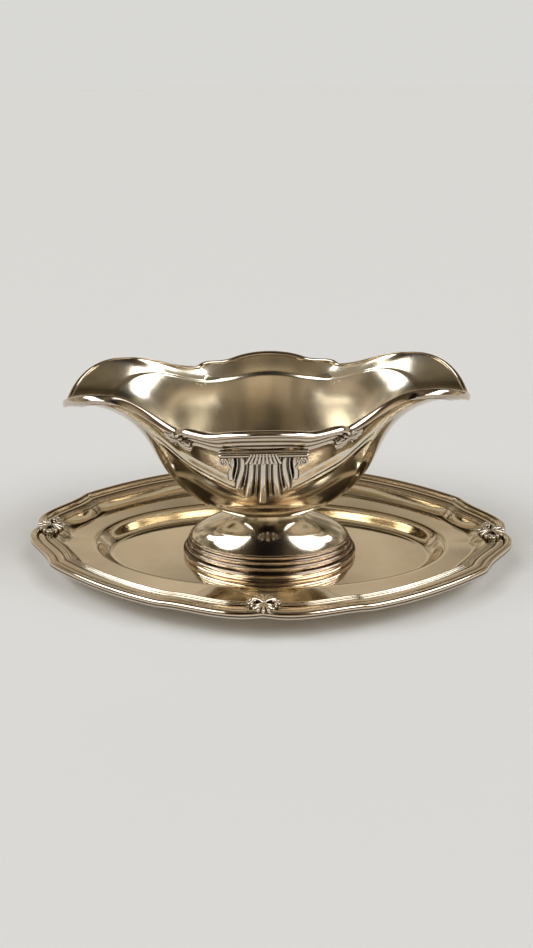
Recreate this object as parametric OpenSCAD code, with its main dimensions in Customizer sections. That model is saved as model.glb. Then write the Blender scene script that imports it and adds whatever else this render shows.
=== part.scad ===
// Two-lipped oval gravy boat on a pedestal foot, standing in the well of its own oval tray.
// Millimetres, +Z up, +X along the length. Origin: middle of the tray's underside.

/* [Tray] */
// Length of the tray over its end lobes
tray_length = 252; // [236:1:268]
// Width of the tray over its side lobes
tray_width = 151; // [144:1:160]
// Height of the tray's rim above the table
tray_height = 16.5; // [15:0.5:19]
// Thickness of the tray's sheet
tray_sheet = 1.2; // [1:0.1:1.6]
// Width of the moulded border on the tray
border_width = 12; // [11:0.5:13]
// Length of the flat floor of the tray's well
well_length = 174; // [166:1:180]
// Width of the flat floor of the tray's well
well_width = 72; // [68:1:76]
// Height of the tray's flat ledge above the table, at the well
ledge_height = 8; // [6:0.5:9]

/* [Boat] */
// Length of the boat over its two lips
boat_length = 196.8; // [180:1:210]
// Width of the boat's rim at its middle
boat_width = 107.6; // [100:1:114]
// Height of the rim at the middle of each side
side_height = 96; // [92:1:100]
// Height of the highest point of each lip
lip_height = 102.9; // [98:1:108]
// Height of the drooping tip of each lip
tip_height = 90; // [86:1:94]
// Thickness of the bowl's wall
bowl_wall = 1.5; // [1.2:0.1:2]
// Height of the moulded band below the boat's rim
band_height = 8; // [6:0.5:9]
// Turn of the loose boat on its tray, in degrees
boat_turn = 0.6; // [0:0.1:3]
// Lean of the bowl on its foot along its length, in degrees
bowl_lean = 1.3; // [0:0.1:1.6]

/* [Foot] */
// Length of the foot at its base
foot_length = 93; // [86:1:98]
// Width of the foot at its base
foot_width = 59; // [56:1:64]
// Height of the foot's neck above the table
neck_height = 31; // [30:0.5:32]
// Gap between the foot and the floor of the well
foot_gap = 0.3; // [0.2:0.1:0.5]

/* [Handles] */
// Width of the ledge on each ear handle
ear_width = 40; // [34:1:44]
// Height of the fluted shell below the ledge
ear_drop = 32; // [28:1:34]
// Number of lobes on each ear handle
ear_lobes = 7; // [5:2:11]

/* [Hidden] */

silver = "#cfc6b4";
worn_silver = "#c9ae98";

tray_x = tray_length / 2;
tray_y = tray_width / 2;
boat_x = boat_length / 2;
boat_y = boat_width / 2;
foot_x = foot_length / 2;
foot_y = foot_width / 2;
foot_z = tray_sheet + foot_gap;
oval_steps = 56;

// ---- curves ----

// Point at t on the cubic Bezier curve with the four control points p
function bezier(p, t) =
    p[0] * pow(1 - t, 3) + 3 * p[1] * t * pow(1 - t, 2)
    + 3 * p[2] * t * t * (1 - t) + p[3] * pow(t, 3);

// Points on a chain of Bezier pieces, with steps[i] points on piece i and the chain's last point
function chain(pieces, steps) = concat(
    [for (i = [0 : len(pieces) - 1]) for (k = [0 : steps[i] - 1]) bezier(pieces[i], k / steps[i])],
    [pieces[len(pieces) - 1][3]]
);

function flip(p, sx, sy) = [p[0] * sx, p[1] * sy, p[2]];

// Closed loop from a quarter that runs from the +X axis to the +Y axis
function loop_of(quarter) = let (n = len(quarter) - 1) concat(
    [for (i = [0 : n - 1]) quarter[i]],
    [for (i = [n : -1 : 1]) flip(quarter[i], -1, 1)],
    [for (i = [0 : n - 1]) flip(quarter[i], -1, -1)],
    [for (i = [n : -1 : 1]) flip(quarter[i], 1, -1)]
);

function oval(a, b, z) = [
    for (k = [0 : oval_steps - 1])
        let (angle = 360 * k / oval_steps) [a * cos(angle), b * sin(angle), z]
];

function middle(ring) = [for (p = ring) 1] * ring / len(ring);

// ---- solids from rings of points ----

function side_faces(first, second, n) = [
    for (j = [0 : n - 1])
        let (k = (j + 1) % n)
        each [[first + j, second + k, second + j], [first + j, first + k, second + k]]
];

// Solid through a list of rings, closed at both ends by a fan
module loft(rings) {
    n = len(rings[0]);
    m = len(rings);
    points = concat([for (r = rings) each r], [middle(rings[0]), middle(rings[m - 1])]);
    start = [for (j = [0 : n - 1]) [m * n, (j + 1) % n, j]];
    end = [for (j = [0 : n - 1]) [m * n + 1, (m - 1) * n + j, (m - 1) * n + (j + 1) % n]];
    sides = [for (i = [0 : m - 2]) each side_faces(i * n, (i + 1) * n, n)];
    polyhedron(points, concat(start, sides, end), convexity = 10);
}

// Ring-shaped solid: the last ring of points joins the first
module hoop(rings) {
    n = len(rings[0]);
    m = len(rings);
    faces = [for (i = [0 : m - 1]) each side_faces(i * n, ((i + 1) % m) * n, n)];
    polyhedron([for (r = rings) each r], faces, convexity = 10);
}

// ---- tray ----

end_notch = [tray_x - 2.5, 0, 0];
end_corner = [0.857 * tray_x, 0.48 * tray_y, 0];
side_corner = [0.389 * tray_x, 0.898 * tray_y, 0];
side_notch = [0, tray_y - 1.6, 0];
tray_outline = chain([
    [end_notch, [tray_x + 8, 13, 0], [0.9 * tray_x, 0.29 * tray_y, 0], end_corner],
    [end_corner, [0.738 * tray_x, 0.636 * tray_y, 0],
        [0.587 * tray_x, 0.795 * tray_y, 0], side_corner],
    [side_corner, [0.286 * tray_x, 0.907 * tray_y, 0], [17, tray_y + 3.9, 0], side_notch]
], [7, 5, 7]);

function scaled_angle(p, a, b) = atan2(p[1] / b, p[0] / a);

// One ring of the tray: the outline moved in by depth, and eased towards a plain oval by ease
function tray_ring(depth, z, ease = 0) = loop_of([
    for (p = tray_outline)
        let (
            angle = scaled_angle(p, tray_x, tray_y),
            across = [cos(angle) / tray_x, sin(angle) / tray_y, 0],
            inner = p - depth * across / norm(across),
            plain = [(tray_x - depth) * cos(angle), (tray_y - depth) * sin(angle), 0]
        )
        inner * (1 - ease) + plain * ease + [0, 0, z]
]);

// One ring of the tray's well: the floor's oval grown by grow
function well_ring(grow, z) = loop_of([
    for (p = tray_outline)
        let (angle = scaled_angle(p, tray_x, tray_y))
        [(well_length / 2 + grow) * cos(angle), (well_width / 2 + grow) * sin(angle), z]
]);

flange_z = tray_height - 3.1;
cavetto_width = 6;
well_slope = 6;
// Upper face of the sheet, from the middle of the tray outwards
tray_rings = [
    well_ring(-1.5, tray_sheet),
    well_ring(0.5, tray_sheet + 0.4),
    well_ring(well_slope / 2, (tray_sheet + ledge_height) / 2),
    well_ring(well_slope - 0.5, ledge_height - 0.5),
    well_ring(well_slope + 1, ledge_height),
    tray_ring(border_width + cavetto_width, ledge_height + 0.7, 0.55),
    tray_ring(border_width + cavetto_width - 1.8, ledge_height + 1.3, 0.45),
    tray_ring(border_width + 1, flange_z - 0.6, 0.1),
    tray_ring(border_width, flange_z),
    tray_ring(1, flange_z + 0.5)
];

function lowered(ring, drop) = [for (p = ring) [p[0], p[1], p[2] - drop]];

module tray_dish() {
    color(silver) loft(concat(
        [for (r = tray_rings) lowered(r, tray_sheet)],
        [for (i = [len(tray_rings) - 1 : -1 : 0]) tray_rings[i]]
    ));
}

// Section of the border as [depth from the outline, height above the flange]
border_section = [
    [0.95, -0.6], [0, -0.2], [0, 1.8], [1.6, 3.1], [3.2, 2.7], [4.2, 1.8],
    [5.3, 2.2], [6.3, 1.6], [7.4, 2], [8.4, 1.3], [10, 1.8],
    [border_width, 0.4], [border_width, 0.02], [1, 0.52]
];

module tray_border() {
    color(silver) hoop([for (s = border_section) tray_ring(s[0], flange_z + s[1])]);
}

// ---- shell ornaments ----

// Fluted shell on the plane with origin at, width along across and length along up
module shell_boss(at, across, up, width, length, depth, flutes) {
    out = cross(across, up);
    steps = 4 * flutes;
    function rim(k) =
        let (angle = 360 * k / steps, scallop = 1 + 0.07 * cos(flutes * angle))
        [width / 2 * scallop * cos(angle), length / 2 * scallop * sin(angle)];
    function ring(share, rise) = [
        for (k = [0 : steps - 1])
            let (
                e = rim(k) * share,
                flute = 1 + 0.25 * share * cos(flutes * 360 * k / steps)
            )
            at + across * e[0] + up * e[1] + out * depth * rise * flute
    ];
    loft([ring(1, -0.35), ring(1, 0.25), ring(0.72, 0.8), ring(0.3, 1)]);
}

tray_shell_width = 16;
tray_shell_length = 14;
tray_shell_inset = 7;
tray_shell_rise = flange_z + 1.4;

// Shell on the tray's border at a notch, turned so that its length points to the middle
module tray_shell(notch, inward) {
    color(silver) shell_boss(
        notch + inward * tray_shell_inset + [0, 0, tray_shell_rise],
        cross(inward, [0, 0, 1]), inward,
        tray_shell_width, tray_shell_length, 2.4, 11
    );
}

module tray_shell_front() {
    tray_shell(-side_notch, [0, 1, 0]);
}

module tray_shell_back() {
    tray_shell(side_notch, [0, -1, 0]);
}

module tray_shell_left() {
    tray_shell(-end_notch, [1, 0, 0]);
}

module tray_shell_right() {
    tray_shell(end_notch, [-1, 0, 0]);
}

// ---- boat ----

lip_tip = [boat_x, 0, tip_height];
lip_shoulder = [0.732 * boat_x, 0.517 * boat_y, lip_height];
rim_notch = [0.385 * boat_x, 0.795 * boat_y, side_height - 4.4];
crest_foot = [0.203 * boat_x, 0.935 * boat_y, side_height - 2.5];
crest_top = [0, boat_y, side_height];
lip_steps = 7;
flank_steps = 7;
panel_steps = 3;
crest_steps = 4;
rim_line = chain([
    [lip_tip, [boat_x, 14, tip_height + 2.5], [0.945 * boat_x, 26, lip_height + 0.6], lip_shoulder],
    [lip_shoulder, [0.61 * boat_x, 28.5, lip_height - 1.4],
        [0.508 * boat_x, 34.5, side_height - 2], rim_notch],
    [rim_notch, [0.36 * boat_x, 45, side_height],
        [0.28 * boat_x, 47.6, side_height - 4.2], crest_foot],
    [crest_foot, [0.163 * boat_x, 51.8, side_height - 1.2],
        [0.091 * boat_x, boat_y, side_height], crest_top]
], [lip_steps, flank_steps, panel_steps, crest_steps]);
rim_loop = loop_of(rim_line);
rim_count = len(rim_loop);
shell_index = lip_steps + flank_steps - 1;
quarter_steps = lip_steps + flank_steps + panel_steps + crest_steps;

// Half-axes of the ovals of control points that pull the bowl's wall in under the lips (tuck)
// and out again to a full, round bottom (keel), and the oval where the bowl meets its collar
tuck = [40, 46.3];
keel = [73.5, 36];
collar_top = [20, 12.8, neck_height + 0.5];
// How far tuck lies below the rim and keel above the collar, at the lips and at the sides
tuck_drop = [3.6, 23.8];
keel_rise = [15.8, 3.4];
rim_share = 0.23;

// Control points of the bowl's outer profile below rim point i
function profile(i) =
    let (
        r = rim_loop[i % rim_count],
        angle = scaled_angle(r, boat_x, boat_y),
        turn = pow(abs(sin(angle)), 1.5),
        drop = tuck_drop[0] * (1 - turn) + tuck_drop[1] * turn,
        rise = keel_rise[0] * (1 - turn) + keel_rise[1] * turn,
        follow = [rim_share * r[0] / boat_x, rim_share * r[1] / boat_y],
        round = [(1 - rim_share) * cos(angle), (1 - rim_share) * sin(angle)]
    )
    [
        r,
        [tuck[0] * (follow[0] + round[0]), tuck[1] * (follow[1] + round[1]), r[2] - drop],
        [keel[0] * cos(angle), keel[1] * sin(angle), collar_top[2] + rise],
        [collar_top[0] * cos(angle), collar_top[1] * sin(angle), collar_top[2]]
    ];

// Outer surface of the bowl: i counts round the rim, s runs from the rim to the collar
function bowl_point(i, s) = bezier(profile(i), s);

// Unit vector out of the bowl's outer surface
function bowl_normal(i, s) =
    let (
        step = 0.02,
        round = bowl_point(i + 1, s) - bowl_point(i + rim_count - 1, s),
        down = bowl_point(i, s + step) - bowl_point(i, s),
        out = cross(down, round)
    )
    out / norm(out);

function bowl_ring(s, grow) = [
    for (i = [0 : rim_count - 1]) bowl_point(i, s) + bowl_normal(i, s) * grow
];

bowl_steps = 13;

// Puts a piece of the bowl in its place: leaning on its foot, and turned with the boat
module on_foot() {
    rotate([0, 0, boat_turn])
        translate([0, 0, neck_height])
            rotate([0, -bowl_lean, 0])
                translate([0, 0, -neck_height])
                    children();
}

module bowl() {
    color(silver) on_foot() loft(concat(
        [for (k = [bowl_steps : -1 : 0]) bowl_ring(k / bowl_steps, 0)],
        [for (k = [0 : bowl_steps]) bowl_ring(k / bowl_steps, -bowl_wall)]
    ));
}

// Section of the rim band as [share of the band's height down from the rim, distance out]
band_section = [[-0.12, -bowl_wall], [-0.2, -0.3], [-0.12, 1], [0.12, 1.5], [0.3, 0.8], [0.42, 1.3],
    [0.54, 0.8], [0.66, 1.2], [0.78, 0.7], [0.9, 0.9], [1, 0.02], [0.02, 0.02], [0.02, -bowl_wall]];

// Point on the rim band: down the outer surface by a length, and out by a distance
function band_point(i, length, out) =
    let (
        p = profile(i),
        start = 3 * norm(p[1] - p[0]),
        s = max(0, length) / start,
        down = (p[1] - p[0]) / norm(p[1] - p[0])
    )
    bowl_point(i, s) + down * min(0, length) + bowl_normal(i, s) * out;

module bowl_border() {
    color(silver) on_foot() hoop([
        for (b = band_section)
            [for (i = [0 : rim_count - 1]) band_point(i, b[0] * band_height, b[1])]
    ]);
}

bowl_shell_width = 13.4;
bowl_shell_length = 13;
bowl_shell_share = 0.1;
bowl_shell_rise = 1.2;

// Shell on the rim band beside a notch, at rim point i
module bowl_shell(i) {
    out = bowl_normal(i, bowl_shell_share);
    level = cross([0, 0, 1], out);
    across = level / norm(level);
    color(silver) on_foot() shell_boss(
        bowl_point(i, bowl_shell_share) + out * bowl_shell_rise, across, cross(out, across),
        bowl_shell_width, bowl_shell_length, 2, 9
    );
}

module bowl_shell_back_right() {
    bowl_shell(shell_index);
}

module bowl_shell_back_left() {
    bowl_shell(2 * quarter_steps - shell_index);
}

module bowl_shell_front_left() {
    bowl_shell(2 * quarter_steps + shell_index);
}

module bowl_shell_front_right() {
    bowl_shell(4 * quarter_steps - shell_index);
}

// ---- ear handles ----

ledge_z = side_height - 9.6;
ledge_reach = 3;
ledge_roll = 1.3;
shell_half = 0.385 * ear_width;
ear_straight = 0.42;
ear_rows = 10;
scroll_radius = 2.8;
scroll_x = ear_width / 2 - scroll_radius;
scroll_z = ledge_z - ledge_roll + 0.4 - scroll_radius;
side_top = bezier(profile(quarter_steps), 0.1)[1];

// Half width of the fluted shell at a share of its drop: a waist, a shoulder, and a blunt point
function ear_half(share) =
    let (
        taper = max(0, share - ear_straight) / (1 - ear_straight),
        waist = 1 - 0.05 * (1 + cos(360 * min(1, share / ear_straight - 0.5)))
    )
    shell_half * (1 - 0.88 * pow(taper, 2.6)) * (share < ear_straight ? waist : 1);

// How far the fluted shell stands out from the bowl
function ear_depth(share) = 2.2 + 1.6 * pow(1 - share, 2) + 2 * sin(180 * share);

// Distance of the bowl's outer face from the middle plane, at a length x off centre and a height z
function side_y(x, z) =
    let (
        p = profile(quarter_steps),
        s = side_share(p, z, 0.02, 0.9, 9),
        y = bezier(p, s)[1],
        a = bezier([[boat_x], [tuck[0]], [keel[0]], [collar_top[0]]], s)[0]
    )
    y * sqrt(1 - pow(x / a, 2));

// Share along a profile at which its height is z, found by halving
function side_share(p, z, low, high, turns) =
    let (mid = (low + high) / 2)
    turns == 0 ? mid
    : bezier(p, mid)[2] > z ? side_share(p, z, mid, high, turns - 1)
    : side_share(p, z, low, mid, turns - 1);

function ear_ring(share) =
    let (
        half = ear_half(share),
        z = ledge_z - share * ear_drop,
        steps = 2 * ear_lobes
    )
    concat(
        [for (k = [0 : steps])
            let (
                b = 2 * k / steps - 1,
                x = b * half,
                ridge = -0.5 * cos(180 * k),
                crown = sqrt(max(0, 1 - pow(b, 4)))
            )
            [x, side_y(x, z) + (ear_depth(share) + ridge) * crown, z]],
        [for (k = [2 : -1 : 0])
            let (x = (k - 1) * half)
            [x, side_y(x, z) - 0.6, z]]
    );

module ear_shell() {
    loft([for (k = [ear_rows : -1 : 0]) ear_ring(k / ear_rows)]);
}

module ear_ledge() {
    front = side_top + ledge_reach;
    translate([0, side_top + ledge_reach / 2 - 0.4, ledge_z])
        cube([ear_width - 2, ledge_reach, 2 * ledge_roll], center = true);
    translate([0, front, ledge_z])
        rotate([0, 90, 0])
            cylinder(r = ledge_roll, h = ear_width, center = true, $fn = 16);
    for (side = [-1, 1])
        translate([side * scroll_x, side_y(scroll_x, scroll_z) - 0.3, scroll_z])
            rotate([-90, 0, 0])
                cylinder(r = scroll_radius, h = front - side_y(scroll_x, scroll_z) + 0.9, $fn = 20);
}

module ear() {
    union() {
        ear_shell();
        ear_ledge();
    }
}

module handle_back() {
    color(silver) on_foot() ear();
}

module handle_front() {
    color(silver) on_foot() rotate([0, 0, 180]) ear();
}

// ---- collar and foot ----

module collar() {
    z = neck_height;
    color(silver) on_foot() loft([
        oval(16.5, 10.5, z - 1.4), oval(19, 12.6, z - 1.1), oval(20.6, 13.8, z - 0.2),
        oval(20.6, 13.8, z + 0.3), oval(19.6, 12.9, z + 0.5)
    ]);
}

dome_edge = [foot_x - 4.5, foot_y - 5.8, 13];
neck = [17.4, 11.4, neck_height - 1];
dome_curve = [neck, [17.8, 11.7, 21.5], [36, 18.5, 22.5], dome_edge];
dome_levels = [1, 0.88, 0.76, 0.62, 0.48, 0.32, 0.16, 0];
foot_wall = 1.3;

// One ring of the dome at t along its curve, moved in by inset and down by drop
function dome_ring(t, inset = 0, drop = 0) =
    let (p = bezier(dome_curve, t))
    oval(p[0] - inset, p[1] - inset, p[2] - drop);

module foot() {
    outside = [for (t = dome_levels) dome_ring(t)];
    inside = [for (t = dome_levels) if (t < 1) dome_ring(t, foot_wall, t > 0 ? foot_wall : 0)];
    rim = dome_ring(1, foot_wall);
    color(silver) rotate([0, 0, boat_turn]) hoop(concat(
        outside,
        [for (k = [len(inside) - 1 : -1 : 0]) inside[k]],
        [rim]
    ));
}

ring_taper = 1.3;
ring_wall = 3.5;
// Steps of the foot's base as [distance in from its edge, height above the well]
ring_section = [[1.2, 0], [0, 0.8], [0, 2.4], [1, 4], [1.9, 4.2], [1.6, 6.4], [2.9, 7.2], [3, 9], [4.2, 10.4]];

module foot_ring() {
    color(worn_silver) rotate([0, 0, boat_turn]) hoop(concat(
        [for (r = ring_section) oval(foot_x - r[0], foot_y - r[0] * ring_taper, foot_z + r[1])],
        [oval(dome_edge[0], dome_edge[1], dome_edge[2])],
        [dome_ring(1, foot_wall)],
        [oval(foot_x - ring_wall, foot_y - ring_wall, foot_z + 2),
         oval(foot_x - ring_wall, foot_y - ring_wall, foot_z)]
    ));
}

tray_dish();
tray_border();
tray_shell_front();
tray_shell_back();
tray_shell_left();
tray_shell_right();
bowl();
bowl_border();
bowl_shell_front_left();
bowl_shell_front_right();
bowl_shell_back_left();
bowl_shell_back_right();
handle_front();
handle_back();
collar();
foot();
foot_ring();
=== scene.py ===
"""Silver-plated two-lipped gravy boat standing in the well of its oval tray.

Shapes are worked out in millimetres in the CAD frame and turned into metres when a mesh is made.
Every loop of points runs round the object from +X through +Y.
"""

import math

import bpy
import numpy as np
from mathutils import Matrix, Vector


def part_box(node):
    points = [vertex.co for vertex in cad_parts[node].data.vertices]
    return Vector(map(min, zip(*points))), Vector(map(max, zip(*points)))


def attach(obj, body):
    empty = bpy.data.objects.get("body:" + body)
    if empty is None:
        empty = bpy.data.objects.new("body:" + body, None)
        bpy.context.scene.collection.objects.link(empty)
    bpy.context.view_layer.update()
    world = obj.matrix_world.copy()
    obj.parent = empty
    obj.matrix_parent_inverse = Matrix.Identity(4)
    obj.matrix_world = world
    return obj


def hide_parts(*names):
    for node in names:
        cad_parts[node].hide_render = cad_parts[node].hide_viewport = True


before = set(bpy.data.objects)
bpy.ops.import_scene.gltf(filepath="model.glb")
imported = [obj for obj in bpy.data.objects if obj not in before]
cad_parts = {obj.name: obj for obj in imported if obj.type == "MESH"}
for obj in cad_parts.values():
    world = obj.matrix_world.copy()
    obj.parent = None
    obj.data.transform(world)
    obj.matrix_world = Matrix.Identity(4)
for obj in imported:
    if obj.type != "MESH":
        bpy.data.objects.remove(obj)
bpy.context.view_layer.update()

MM = 0.001
TAU = 2 * math.pi


def node_box(name):
    """Lowest and highest corner of a CAD node, in millimetres."""
    low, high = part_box(name)
    return np.array(low) / MM, np.array(high) / MM


# ---- driving sizes, in millimetres ----

TRAY_X, TRAY_Y, TRAY_TOP = node_box("tray_border")[1]
SHEET = 1.2
BORDER = 12.0
CAVETTO = 6.0
WELL_SLOPE = 6.0
WELL_X = 87.0
WELL_Y = 36.0
SILL_Z = 8.0

BOAT_X = 98.4
BOAT_Y = 53.8
SIDE_Z = 96.0
LIP_Z = 102.9
TIP_Z = 90.0
WALL = 1.5
BAND = 10.6
NECK_Z = 31.0
NECK = (17.4, 11.4)
COLLAR = (20.0, 12.8, NECK_Z + 0.5)
TUCK = (40.0, 46.3)
TUCK_DROP = (3.6, 23.8)
KEEL = (73.5, 36.0)
KEEL_RISE = (15.8, 3.4)
RIM_SHARE = 0.23

FOOT_X = 46.5
FOOT_Y = 29.5
FOOT_Z = node_box("foot_ring")[0][2]
DOME_Z = 13.0
FOOT_WALL = 1.3

EAR_WIDTH = 40.0
LEDGE_Z = SIDE_Z - 9.2
EAR_TOP = LEDGE_Z - 2.4
EAR_TIP = 56.0

BOAT_TURN = math.radians(0.6)
BOWL_LEAN = math.radians(1.3)


# ---- curves ----

def cubic(controls, t):
    """Cubic Bezier sum of four control points, or of four arrays of them, at t."""
    a, b, c, d = controls
    return a * (1 - t) ** 3 + 3 * b * t * (1 - t) ** 2 + 3 * c * t * t * (1 - t) + d * t ** 3


def bezier(controls, t):
    """Every control point's curve at every t; each control point may itself be an array of points."""
    points = [np.asarray(p, float) for p in controls]
    t = np.asarray(t, float)
    return cubic(points, t.reshape(t.shape + (1,) * points[0].ndim))


def unit(vector):
    """The vector, or each row of vectors, at length 1."""
    return vector / np.linalg.norm(vector, axis=-1, keepdims=True)


def chain(pieces, counts):
    """Points along joined Bezier pieces, with the chain's last point."""
    parts = [bezier(p, np.arange(n) / n) for p, n in zip(pieces, counts)]
    return np.vstack(parts + [np.array([pieces[-1][3]], float)])


def loop_of(quarter):
    """Closed loop from a quarter that runs from the +X axis to the +Y axis."""
    back = quarter[:0:-1]
    first = quarter[:-1]
    width = quarter.shape[1] - 2
    signs = [[1, 1], [-1, 1], [-1, -1], [1, -1]]
    parts = [part * np.array(s + [1] * width) for part, s in zip([first, back, first, back], signs)]
    return np.vstack(parts)


def smooth(x):
    """Smooth step from 0 to 1 as x goes from 0 to 1."""
    x = np.clip(x, 0, 1)
    return x * x * (3 - 2 * x)


def bump(x, middle, width):
    """Bell of height 1 about middle."""
    return np.exp(-(((x - middle) / width) ** 2))


def softened(loop, reach):
    """A closed loop of points with its corners rounded over a number of points."""
    steps = np.arange(-2 * reach, 2 * reach + 1)
    weights = bump(steps, 0, reach)
    return sum(w * np.roll(loop, k, axis=0) for w, k in zip(weights, steps)) / weights.sum()


def beads(x, spans):
    """Sum of half-round beads; each span is (start, end, height)."""
    total = np.zeros_like(x)
    for start, end, height in spans:
        u = (x - (start + end) / 2) / ((end - start) / 2)
        total += height * np.sqrt(np.clip(1 - u * u, 0, 1))
    return total


def oval(a, b, z, count):
    """Ring of points on an oval with half-axes a and b."""
    angle = TAU * np.arange(count) / count
    return np.stack([a * np.cos(angle), b * np.sin(angle), np.full(count, z)], axis=1)


# ---- meshes ----

def make_mesh(name, points, faces, groove=None):
    """Mesh object from points in millimetres, with a groove value on each point for the tarnish and painted
    shade.
    """
    mesh = bpy.data.meshes.new(name)
    mesh.from_pydata((np.asarray(points) * MM).tolist(), [], faces)
    mesh.polygons.foreach_set("use_smooth", [True] * len(mesh.polygons))
    values = np.zeros(len(points)) if groove is None else np.asarray(groove, float).ravel()
    mesh.attributes.new("groove", "FLOAT", "POINT").data.foreach_set("value", values.astype(np.float32))
    mesh.update()
    piece = bpy.data.objects.new(name, mesh)
    bpy.context.scene.collection.objects.link(piece)
    return piece


def grid_faces(rows, columns, wrap_rows=False, wrap_columns=True, start=0):
    """Quads of a grid of points, optionally joined round in either direction."""
    row_count = rows if wrap_rows else rows - 1
    column_count = columns if wrap_columns else columns - 1
    faces = []
    for i in range(row_count):
        a = start + i * columns
        b = start + ((i + 1) % rows) * columns
        for j in range(column_count):
            k = (j + 1) % columns
            faces.append((a + j, a + k, b + k, b + j))
    return faces


class Builder:
    """Collects grids of points into one mesh."""

    def __init__(self):
        self.points = []
        self.grooves = []
        self.faces = []
        self.count = 0

    def grid(self, rings, groove=None, wrap_rows=False, wrap_columns=True, caps=False):
        """Adds rings, an array of rows of points; caps closes the first and last ring with a fan."""
        rings = np.asarray(rings, float)
        rows, columns = rings.shape[:2]
        start = self.count
        self.points.append(rings.reshape(-1, 3))
        shade = np.zeros((rows, columns)) if groove is None else np.broadcast_to(groove, (rows, columns))
        self.grooves.append(np.asarray(shade, float).reshape(-1))
        self.faces += grid_faces(rows, columns, wrap_rows, wrap_columns, start)
        self.count += rows * columns
        if caps:
            self.cap(start, columns, rings[0].mean(axis=0), True)
            self.cap(start + (rows - 1) * columns, columns, rings[-1].mean(axis=0), False)

    def cap(self, start, columns, middle, flip):
        """Closes a ring of points with a fan about middle."""
        self.points.append(np.array([middle]))
        self.grooves.append(np.zeros(1))
        for j in range(columns):
            a = start + j
            b = start + (j + 1) % columns
            self.faces.append((self.count, b, a) if flip else (self.count, a, b))
        self.count += 1

    def rib(self, path, half, rise, out, groove=0.0, sides=14):
        """Adds a rod along a path; half is its half width, and rise its half height along out."""
        path = np.asarray(path, float)
        count = len(path)
        along = unit(np.gradient(path, axis=0))
        across = unit(np.cross(along, out))
        out = np.cross(across, along)
        angle = TAU * np.arange(sides) / sides
        half = np.broadcast_to(half, count)[:, None, None]
        rise = np.broadcast_to(rise, count)[:, None, None]
        wide = half * np.cos(angle)[None, :, None] * across[:, None]
        high = rise * np.sin(angle)[None, :, None] * out[:, None]
        # The groove value is strongest on the rod's flanks, where it meets the surface: tarnish and painted
        # shade in the crevice
        shade = groove * np.abs(np.cos(angle)) ** 3
        self.grid(path[:, None] + wide + high, groove=shade[None, :], caps=True)

    def make(self, name, place=None):
        """The mesh object, its points moved by place if that is given."""
        points = np.vstack(self.points)
        if place is not None:
            points = place(points)
        return make_mesh(name, points, self.faces, np.concatenate(self.grooves))


def on_foot(points):
    """Leans the bowl on its foot and turns it with the boat."""
    points = points - [0, 0, NECK_Z]
    x = points[:, 0] * math.cos(BOWL_LEAN) - points[:, 2] * math.sin(BOWL_LEAN)
    z = points[:, 0] * math.sin(BOWL_LEAN) + points[:, 2] * math.cos(BOWL_LEAN)
    return turned(np.stack([x, points[:, 1], z + NECK_Z], axis=1))


def turned(points):
    """Turns the boat on its tray."""
    x = points[:, 0] * math.cos(BOAT_TURN) - points[:, 1] * math.sin(BOAT_TURN)
    y = points[:, 0] * math.sin(BOAT_TURN) + points[:, 1] * math.cos(BOAT_TURN)
    return np.stack([x, y, points[:, 2]], axis=1)


# ---- tray ----

# The quarter of the outline between two notches: end notch, end corner, side corner, side notch
END_NOTCH = (TRAY_X - 2.5, 0)
END_CORNER = (0.857 * TRAY_X, 0.48 * TRAY_Y)
SIDE_CORNER = (0.389 * TRAY_X, 0.898 * TRAY_Y)
SIDE_NOTCH = (0, TRAY_Y - 1.6)
DRAWN_OUTLINE = chain(
    [
        [END_NOTCH, (TRAY_X + 8, 13), (0.9 * TRAY_X, 0.29 * TRAY_Y), END_CORNER],
        [END_CORNER, (0.738 * TRAY_X, 0.636 * TRAY_Y), (0.587 * TRAY_X, 0.795 * TRAY_Y), SIDE_CORNER],
        [SIDE_CORNER, (0.286 * TRAY_X, 0.907 * TRAY_Y), (17, TRAY_Y + 3.9), SIDE_NOTCH],
    ],
    [44, 44, 44],
)
CORNER_REACH = 2
OUTLINE = softened(loop_of(DRAWN_OUTLINE), CORNER_REACH)[:len(DRAWN_OUTLINE)]
OUTLINE_ANGLE = np.arctan2(OUTLINE[:, 1] / TRAY_Y, OUTLINE[:, 0] / TRAY_X)
FLANGE_Z = TRAY_TOP - 3.1

# The moulding: its ground falls inwards from its outer edge, and beads stand on the ground
GROUND_Z = 1.15
GROUND_FALL = 0.06
EDGE_BEAD = 4.2
BROAD_BEAD = (4.5, 8.3, 0.55)
REED_START = 8.5
REED_PITCH = 1.2
REED_COUNT = 3

# The slope of the ledge between well and cavetto, and how far its outer edge keeps to a plain oval
LEDGE_CLIMB = 0.7
OVAL_EASE = 0.55


def tray_ring(depth, z, ease=0.0):
    """The outline moved in by depth, and eased towards a plain oval by ease."""
    across = np.stack([np.cos(OUTLINE_ANGLE) / TRAY_X, np.sin(OUTLINE_ANGLE) / TRAY_Y], axis=1)
    across /= np.linalg.norm(across, axis=1)[:, None]
    inner = OUTLINE - depth * across
    plain = np.stack(
        [(TRAY_X - depth) * np.cos(OUTLINE_ANGLE), (TRAY_Y - depth) * np.sin(OUTLINE_ANGLE)], axis=1
    )
    flat = inner * (1 - ease) + plain * ease
    return loop_of(np.column_stack([flat, np.full(len(flat), z)]))


def well_ring(grow, z):
    """The oval of the well's floor, grown by grow."""
    x = (WELL_X + grow) * np.cos(OUTLINE_ANGLE)
    y = (WELL_Y + grow) * np.sin(OUTLINE_ANGLE)
    return loop_of(np.column_stack([x, y, np.full(len(x), z)]))


def ground_height(depth):
    """Height of the moulding's ground above the flange, at a depth in from the outline."""
    return GROUND_Z - GROUND_FALL * depth


def bead_height(depth):
    """How far the moulding's beads and reeds stand above its ground."""
    starts = REED_START + REED_PITCH * np.arange(REED_COUNT)
    reeds = [(start, start + REED_PITCH - 0.05, 0.62) for start in starts]
    return beads(depth, [(0.0, EDGE_BEAD, 2.0), BROAD_BEAD] + reeds)


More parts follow.
